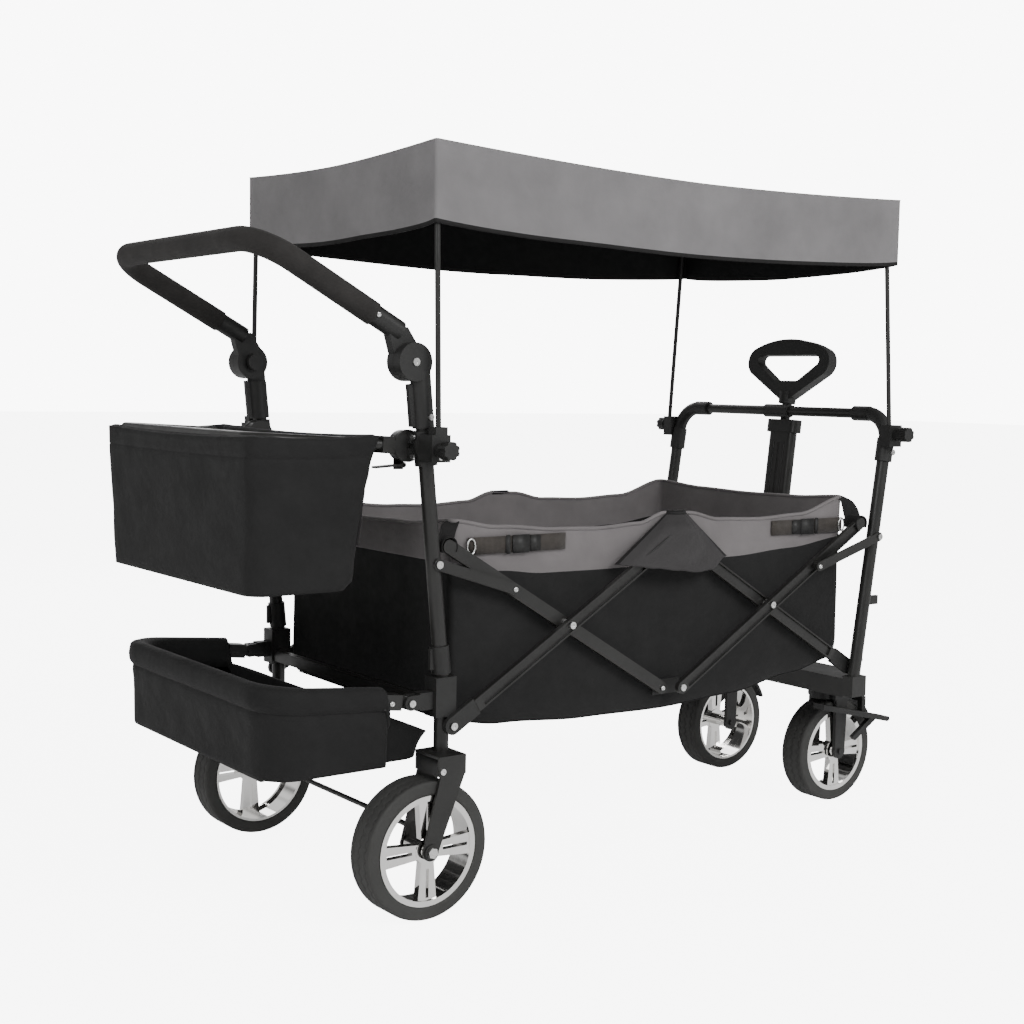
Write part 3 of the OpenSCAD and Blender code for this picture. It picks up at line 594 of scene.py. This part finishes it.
def make_flap(side):
    rows = []
    steps, across = 26, 40
    for j in range(steps + 1):
        share = j / steps
        row = []
        for i in range(across + 1):
            t = i / across
            low_x = 353 + 240 * t
            low_z = curve_at(FLAP_LOW, low_x)
            x = FLAP_TOP[0] + (FLAP_TOP[1] - FLAP_TOP[0]) * t
            x += (low_x - x) * share
            z = FLAP_TOP[2] + (low_z - FLAP_TOP[2]) * share
            bulge = 1 - (2 * t - 1) ** 2
            spread = share * (1 - bulge) + min(1, share * 4.2) ** 0.7 * bulge
            hang = FLAP_ROOT_Y + (curve_at(FLAP_OUT, t) - FLAP_ROOT_Y) * spread
            if t in (0, 1):
                hang -= 1.5
            row.append(at(x, side * (hang + 0.8 * share * wrinkle(x, 0, z, 60, 2.0)), z))
        rows.append(row)
    edge = (0, across - 1)
    obj = grid_object("side_flap_%s" % side_name(side), rows, [FLAP_CLOTH, TRIM],
                      flip=side > 0, pick=lambda j, i: 1 if j == 0 or i in edge else 0)
    thicken(obj, 1.4 * MM, offset=0)
    soft_on_tub(obj)
    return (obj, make_flap_tab(side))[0]


for side in (-1, 1):
    make_flap(side)

# ---------------------------------------------------------------- corner straps


def make_corner_strap(name, x_free, x_ring, z, side):
    """Webbing with a buckle, from its free end x_free to the ring at x_ring near a corner."""
    step = 1 if x_ring > x_free else -1
    wall = TUB_HALF + 1.2
    parts = []
    path = [at(x_free + (x_ring - x_free) * k / 12, side * (wall + 1.2 * math.sin(math.pi * k / 12)), z)
            for k in range(13)]
    parts.append(strip_object(name, path, 25, WEBBING, (0, 0, 1)))
    middle = x_free + (x_ring - x_free) * 0.42
    for tag, x0, x1, y1, half in (
        ("male", middle - 26, middle - 6, 4.6, 12), ("female", middle - 5, middle + 26, 5.4, 13.5),
        ("bar", middle + 30, middle + 38, 4.8, 14),
    ):
        ends = sorted(x if step > 0 else 2 * middle - x for x in (x0, x1))
        low = (ends[0], side * (wall + 0.6), z - half)
        high = (ends[1], side * (wall + y1), z + half)
        parts.append(box_object("%s_%s" % (name, tag), low, high, PLASTIC, bevel=1.2))
    ring = [at(x_ring - step * 4 + 7 * math.cos(a), side * (wall + 3), z + 11 * math.sin(a))
            for a in (2 * math.pi * k / 24 for k in range(24))]
    parts.append(tube_object("%s_ring" % name, ring, 1.5, SILVER, closed=True, sides=8))
    for part in parts:
        soft_on_tub(part)
    return parts


straps = []
for tag, side in (("right", -1), ("left", 1)):
    straps.append(make_corner_strap("rear_strap_%s" % tag, 267, 87, 525, side))
    straps.append(make_corner_strap("front_strap_%s" % tag, 713, 888, 525, side))
for parts in straps:
    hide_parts("corner_straps")

# ---------------------------------------------------------------- baskets


UPPER_HALF = 240
UPPER_TOP = 684
UPPER_LOW = 475
UPPER_FRONT = [(474, -104), (489, -91), (577, -82), (613, -79), (636, -74), (690, -62)]


def upper_corner(share):
    """Radius of the bag's front corners at that share of its depth."""
    return 10 + 22 * share


def make_upper_bag():
    """Bag with a turned-over top edge and crisp corners that round off lower down."""
    levels = [0, 0.03, 0.08, 0.115, 0.125, 0.135, 0.17, 0.25, 0.36]
    levels += [0.48, 0.6, 0.72, 0.82, 0.9, 0.95, 0.98, 1.0]

    def ring(share, inset=0.0, lift=0.0):
        z = UPPER_TOP + (UPPER_LOW - UPPER_TOP) * share + lift
        front = curve_at(UPPER_FRONT, z)
        rear = -261.5 + 5 * share ** 2
        half = UPPER_HALF - 2 * share
        loop = rounded_loop(rear + inset, front - inset, half - inset, 12 + 14 * share, per_corner=7,
                            pieces=(18, 36), front=upper_corner(share))
        row = []
        for x, y, nx, ny in loop:
            middle = (1 - (y / half) ** 2) if abs(nx) > 0.7 else (1 - (2 * (x + 161) / 200) ** 2)
            droop = -5.0 * max(0.0, middle) * max(0.0, 1 - share * 4)
            free = math.sin(math.pi * min(1, share * 1.05)) if share < 0.95 else 0
            sag = free * (2.8 + 3.6 * wrinkle(x, y, z, 110, 6.0) + 2.0 * wrinkle(x, y, z, 42, 8.0))
            stitch = 1.3 if abs(share - 0.125) < 0.004 else 0.0
            row.append(at(x - nx * (sag + stitch), y - ny * (sag + stitch), z + droop))
        return row

    hem = [ring(0, inset, lift) for inset, lift in
           ((16.5, -60), (16, -30), (15.5, -8), (14, -1), (10, 2.4), (5.5, 2.4), (2, 0.6))]
    rows = hem + [ring(share) for share in levels]
    middle = at(-176, 0, UPPER_LOW - 2)
    rows += [[middle + (p - middle) * share for p in rows[-1]] for share in (0.93, 0.75, 0.5, 0.25, 0.002)]
    obj = grid_object("upper_bag", rows, [BLACK_CLOTH], closed=True)
    thicken(obj, 1.6 * MM, offset=-1)
    return obj


def bag_on(piece, body):
    """The piece moves with its basket and gets its own copy of its mesh."""
    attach(piece, body)
    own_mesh(piece)
    return piece


upper_bag = bag_on(make_upper_bag(), "upper_basket")
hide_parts("upper_basket_bag")


def make_piping(side):
    """Dark binding along the upper bag's front corner."""
    path = []
    for k in range(26):
        share = k / 25
        z = 685 - 150 * share
        depth = (UPPER_TOP - z) / (UPPER_TOP - UPPER_LOW)
        round_off = upper_corner(max(0, depth)) * (1 - math.sqrt(0.5))
        path.append(at(curve_at(UPPER_FRONT, z) - round_off - 1, side * (UPPER_HALF - round_off - 1), z))
    name = "upper_bag_piping_%s" % side_name(side)
    return bag_on(tube_object(name, path, 2.4, TRIM, sides=8), "upper_basket")


[make_piping(side) for side in (-1, 1)]

LOWER_HALF = 251
LOWER_FLOOR = 221
ROLL_SHARE = 0.25        # share of the bag's height that its padded roll takes
LOWER_TILT = math.tan(math.radians(7))
FRONT_EDGE = 290


def lower_rim(x):
    """Height of the lower bag's top edge: it follows the tilted tube."""
    return 324 + (-x - 16) * LOWER_TILT * 0.75


def make_lower_bag():
    """Long bag hung from the lower frame by a padded roll round the tube."""
    levels = [0, 0.04, 0.1, 0.16, 0.2, 0.235, 0.25, 0.265, 0.32, 0.44, 0.58, 0.72, 0.84, 0.92, 0.97, 1.0]

    def ring(share, inset=0.0, lift=0.0):
        rear = -240 + 8 * share
        front = -50 + 2 * share
        half = LOWER_HALF - 8 * share
        loop = rounded_loop(rear + inset, front - 0.3 * inset, half - inset, 62 - 14 * share, per_corner=9,
                            pieces=(16, 34), front=7)
        row = []
        for x, y, nx, ny in loop:
            open_front = max(0.0, nx) ** 2
            top = lower_rim(x) + (FRONT_EDGE - lower_rim(x)) * open_front
            z = top + (LOWER_FLOOR - top) * share + lift * (1 - 0.7 * open_front)
            seam = 2.2 * math.exp(-((share - ROLL_SHARE) / 0.02) ** 2)
            roll = 3.0 * math.sin(math.pi * min(1, share / ROLL_SHARE)) - seam
            free = math.sin(math.pi * share) if share > 0.2 else 0.0
            belly = free * (2.0 + 3.0 * wrinkle(x, y, z, 95, 2.0) + 1.8 * wrinkle(x, y, z, 38, 5.0))
            if nx > 0.9:
                belly = 0.4 * belly
            out = roll - belly
            row.append(at(x + nx * out, y + ny * out, z))
        return row

    hem = [ring(0, inset, lift) for inset, lift in
           ((23, -40), (22.5, -26), (22, -12), (19.5, 0), (14, 4.5), (7.5, 5), (2, 2.5))]
    rows = hem + [ring(share) for share in levels]
    middle = at(-142, 0, 220)
    rows += [[middle + (p - middle) * share for p in rows[-1]] for share in (0.95, 0.75, 0.5, 0.25, 0.002)]
    obj = grid_object("lower_bag", rows, [BLACK_CLOTH], closed=True)
    thicken(obj, 1.8 * MM, offset=-1, even=False)
    return obj


lower_bag = bag_on(make_lower_bag(), "lower_basket")
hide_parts("lower_basket_bag")


def make_apron():
    """Shallow pocket in front of the lower bag, between the uprights."""
    levels = [0, 0.06, 0.2, 0.4, 0.6, 0.8, 0.94, 1.0]
    rows = []
    for share in levels:
        loop = rounded_loop(-60, 44 - 18 * share, 222 - 4 * share, 5, per_corner=5, pieces=(14, 34),
                            front=30)
        row = []
        for x, y, nx, ny in loop:
            top = 296 - 43 * max(0, (x + 60) / 104) ** 1.1
            z = top + (LOWER_FLOOR - top) * share
            slack = math.sin(math.pi * share) * (1.5 + 3 * wrinkle(x, y, z, 70, 12.0))
            row.append(at(x - nx * slack, y - ny * slack, z))
        rows.append(row)
    middle = at(-15, 0, 220)
    rows += [[middle + (p - middle) * share for p in rows[-1]] for share in (0.8, 0.45, 0.002)]
    obj = grid_object("lower_apron", rows, [BLACK_CLOTH], closed=True)
    thicken(obj, 1.6 * MM, offset=-1)
    return obj


apron = bag_on(make_apron(), "lower_basket")

# ---------------------------------------------------------------- corner loops and small fastenings


def make_corner_loop(name, tip, y0, y1, body):
    """Cloth sleeve from the tub's corner, wrapped over the round end of a brace."""
    rows = []
    for j in range(15):
        y = y0 + (y1 - y0) * j / 14
        row = []
        for k in range(25):
            a = math.radians(-35 + 250 * k / 24)
            pucker = 13.4 + 0.8 * wrinkle(tip[0] + 30 * math.cos(a), y, tip[1] + 30 * math.sin(a), 14, 3.0)
            row.append(at(tip[0] + pucker * math.cos(a), y, tip[1] + pucker * math.sin(a)))
        rows.append(row)
    obj = grid_object(name, rows, [TRIM], flip=y1 < 0)
    thicken(obj, 1.3 * MM, offset=0)
    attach(obj, body)
    return obj


FRONT_GUSSET = (((880, -241.5, 573), (886, -241.5, 558), (890, -242, 543), (893, -246, 528)),
                ((897, -230, 575), (915, -242, 566), (921, -252, 548), (921, -258, 526)))
REAR_GUSSET = (((72, -241.5, 563), (66, -241.5, 550), (62, -242, 538), (58, -246, 526)),
               ((57, -228, 563), (44, -236, 560), (33, -246, 548), (31, -250, 526)))


def make_gusset(name, edges, side, body):
    """Cloth that runs from the tub's corner over to the end of a brace. edges are its two long sides."""
    rows = []
    for j in range(9):
        place = 3 * j / 8
        k = min(2, int(place))
        ends = [Vector(e[k]).lerp(Vector(e[k + 1]), place - k) for e in edges]
        row = []
        for i in range(7):
            x, y, z = ends[0].lerp(ends[1], i / 6)
            row.append(at(x, -side * y - side * 2 * math.sin(math.pi * i / 6), z))
        rows.append(row)
    obj = grid_object(name, rows, [TRIM], flip=side > 0)
    thicken(obj, 1.3 * MM, offset=0)
    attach(obj, body)
    modify(obj, "SUBSURF", levels=1, render_levels=1)
    return obj


# Outline of a domed screw head with a dimple: shares of its radius, and of its height
SCREW_PROFILE = ((1.0, -0.4), (1.0, 0.35), (0.86, 0.75), (0.6, 0.98), (0.34, 1.0), (0.28, 0.5), (0.02, 0.45))


def make_screw(name, place, axis, radius, body, height=2.2):
    axis = Vector(axis).normalized()
    side = axis.orthogonal().normalized()
    up = axis.cross(side)
    rows = []
    for share, lift in SCREW_PROFILE:
        centre = at(*place) + axis * (height * lift * MM)
        rows.append([
            centre + (side * math.cos(a) + up * math.sin(a)) * radius * share * MM
            for a in (2 * math.pi * k / 20 for k in range(20))
        ])
    obj = grid_object(name, rows, [SILVER], closed=True)
    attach(obj, body)
    return obj


def corner_cloth(end, tag, tip, y0, y1, edges, side):
    """Sleeve round the end of a brace and the gusset that joins it to the tub."""
    body = "%s_brace_pair" % end
    gusset = make_gusset("%s_corner_gusset_%s" % (end, tag), edges, side, body)
    make_corner_loop("%s_corner_loop_%s" % (end, tag), tip, side * y0, side * y1, body)


# Screws that face sideways: label, place on the left side, radius and body
SIDE_SCREWS = (
    ("arm", (-74, 251, 851), 4, "push_handle"),
    ("clamp", (6, 288, 656), 3.5, "rear_frame"),
    ("rear_link", (160, 261, 460), 4, "rear_link_pair"),
    ("front_link", (792, 281.5, 460), 4, "front_link_pair"),
    ("centre_hub", (461, 256, 281), 4, "centre_hub_pair"),
    ("basket", (-46, 252.5, 311), 4, "lower_basket"),
)

for tag, side in (("right", -1), ("left", 1)):
    corner_cloth("rear", tag, (46, 528), 241, 255, REAR_GUSSET, side)
    corner_cloth("front", tag, (906, 528), 241, 271.5, FRONT_GUSSET, side)
    make_screw("arm_top_screw_%s" % tag, (-74, side * 236, 866), (0.3, 0, 1), 4, "push_handle")
    for label, (x, y, z), radius, body in SIDE_SCREWS:
        make_screw("%s_screw_%s" % (label, tag), (x, side * y, z), (0, side, 0), radius, body)

# ---------------------------------------------------------------- tyres

TREAD_WAVES = 40
TREAD_DEPTH = 1.7
TREAD_LINES = (-0.62, 0.0, 0.62)     # the grooves' places, as shares of half the tyre's width
SHOULDER = 4.0
RIM_SHARE = 0.8
TYRE_TURNS = 320


def make_tyre(node, body):
    low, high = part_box(node)
    centre = Vector([(a + b) / 2 for a, b in zip(low, high)])
    radius = (high[2] - low[2]) / 2 / MM
    half = (high[1] - low[1]) / 2 / MM
    inner = radius * RIM_SHARE
    profile = [(inner, 3 - half), (inner + 0.6, -half + 1.2), (inner + 2.4, -half + 0.3), (inner + 4, -half)]
    for k in range(5):
        profile.append((inner + 4 + (radius - SHOULDER - inner - 4) * (k + 1) / 5, -half))
    for k in range(1, 5):
        a = math.radians(90 * k / 4)
        profile.append((radius - SHOULDER + SHOULDER * math.sin(a), -half + SHOULDER * (1 - math.cos(a))))
    tread = half - SHOULDER
    steps = 28
    crown = [(radius, -tread + 2 * tread * k / steps) for k in range(1, steps)]
    profile = profile + crown + [(r, -y) for r, y in reversed(profile)]
    rows = []
    for k in range(TYRE_TURNS):
        a = 2 * math.pi * k / TYRE_TURNS
        row = []
        for r, y in profile:
            groove = 0.0
            if r > radius - 2.2:
                for line in TREAD_LINES:
                    away = abs(y - line * half - 2.3 * math.sin(TREAD_WAVES * a + line * 2))
                    groove = max(groove, math.exp(-(away / 1.05) ** 4))
            rr = r - TREAD_DEPTH * groove
            row.append(centre + Vector((rr * math.cos(a), y, rr * math.sin(a))) * MM)
        rows.append(row)
    rows.append(rows[0])
    obj = grid_object(node + "_rubber", rows, [RUBBER], closed=False)
    weld(obj, 0.00001)
    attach(obj, body)
    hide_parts(node)
    return obj


for end in ("rear", "front"):
    for tag in ("right", "left"):
        make_tyre("%s_tyre_%s" % (end, tag), "%s_wheel_%s" % (end, tag))

# ---------------------------------------------------------------- floor, light


# What the camera sees straight on is strong enough to look white. What lights the wagon is weaker.
SEEN_WORLD = 9.0
SEEN_FLOOR = 7.0
LIT_FLOOR = 0.15


def seen_or_lit(nodes, links, seen, lit):
    """A strength that is one value for what the camera sees straight on and another for the light it gives.
    lit is a number or a socket.
    """
    ray = nodes.new("ShaderNodeLightPath")
    mix = nodes.new("ShaderNodeMapRange")
    if isinstance(lit, bpy.types.NodeSocket):
        links.new(lit, mix.inputs["To Min"])
    else:
        mix.inputs["To Min"].default_value = lit
    mix.inputs["To Max"].default_value = seen
    links.new(ray.outputs["Is Camera Ray"], mix.inputs["Value"])
    return mix.outputs["Result"]


def add_floor():
    bpy.ops.mesh.primitive_plane_add(size=60, location=(0, 0, -0.0005))
    floor = bpy.context.object
    floor.name = "studio_floor"
    pale = Shader("studio_floor", (0.9, 0.9, 0.9), 0.8)
    pale.bsdf.inputs["Emission Color"].default_value = (1, 1, 1, 1)
    strength = seen_or_lit(pale.nodes, pale.links, SEEN_FLOOR, LIT_FLOOR)
    pale.links.new(strength, pale.bsdf.inputs["Emission Strength"])
    floor.data.materials.append(pale.mat)


def add_area(name, place, size, power, target=(0.0, 0.0, 0.5)):
    data = bpy.data.lights.new(name, "AREA")
    data.shape = "RECTANGLE"
    data.size, data.size_y = size
    data.energy = power
    lamp = bpy.data.objects.new(name, data)
    lamp.location = place
    lamp.rotation_euler = (Vector(target) - Vector(place)).to_track_quat("-Z", "Y").to_euler()
    bpy.context.scene.collection.objects.link(lamp)


def patchy_room(nodes, links, dark, bright):
    """Light that changes with its direction, as from a studio's panels and the dark gaps between them.
    Bright metal needs both.
    """
    source = nodes.new("ShaderNodeTexCoord")
    patches = nodes.new("ShaderNodeTexNoise")
    patches.inputs["Scale"].default_value = 2.6
    patches.inputs["Detail"].default_value = 1.0
    spread = nodes.new("ShaderNodeMapRange")
    spread.inputs["From Min"].default_value = 0.44
    spread.inputs["From Max"].default_value = 0.56
    spread.inputs["To Min"].default_value = dark
    spread.inputs["To Max"].default_value = bright
    links.new(source.outputs["Generated"], patches.inputs["Vector"])
    links.new(patches.outputs["Fac"], spread.inputs["Value"])
    return spread.outputs["Result"]


def add_light():
    world = bpy.data.worlds.new("studio")
    world.use_nodes = True
    background = world.node_tree.nodes["Background"]
    background.inputs["Color"].default_value = (1, 1, 1, 1)
    nodes, links = world.node_tree.nodes, world.node_tree.links
    strength = seen_or_lit(nodes, links, SEEN_WORLD, patchy_room(nodes, links, dark=0.04, bright=0.86))
    links.new(strength, background.inputs["Strength"])
    bpy.context.scene.world = world
    add_area("key", (0.6, -3.4, 2.6), (2.6, 1.4), 95)
    add_area("side", (-3.2, -1.4, 2.2), (1.6, 1.6), 40)
    add_area("back", (1.5, 3.2, 2.4), (3.0, 1.4), 45)


add_floor()
add_light()
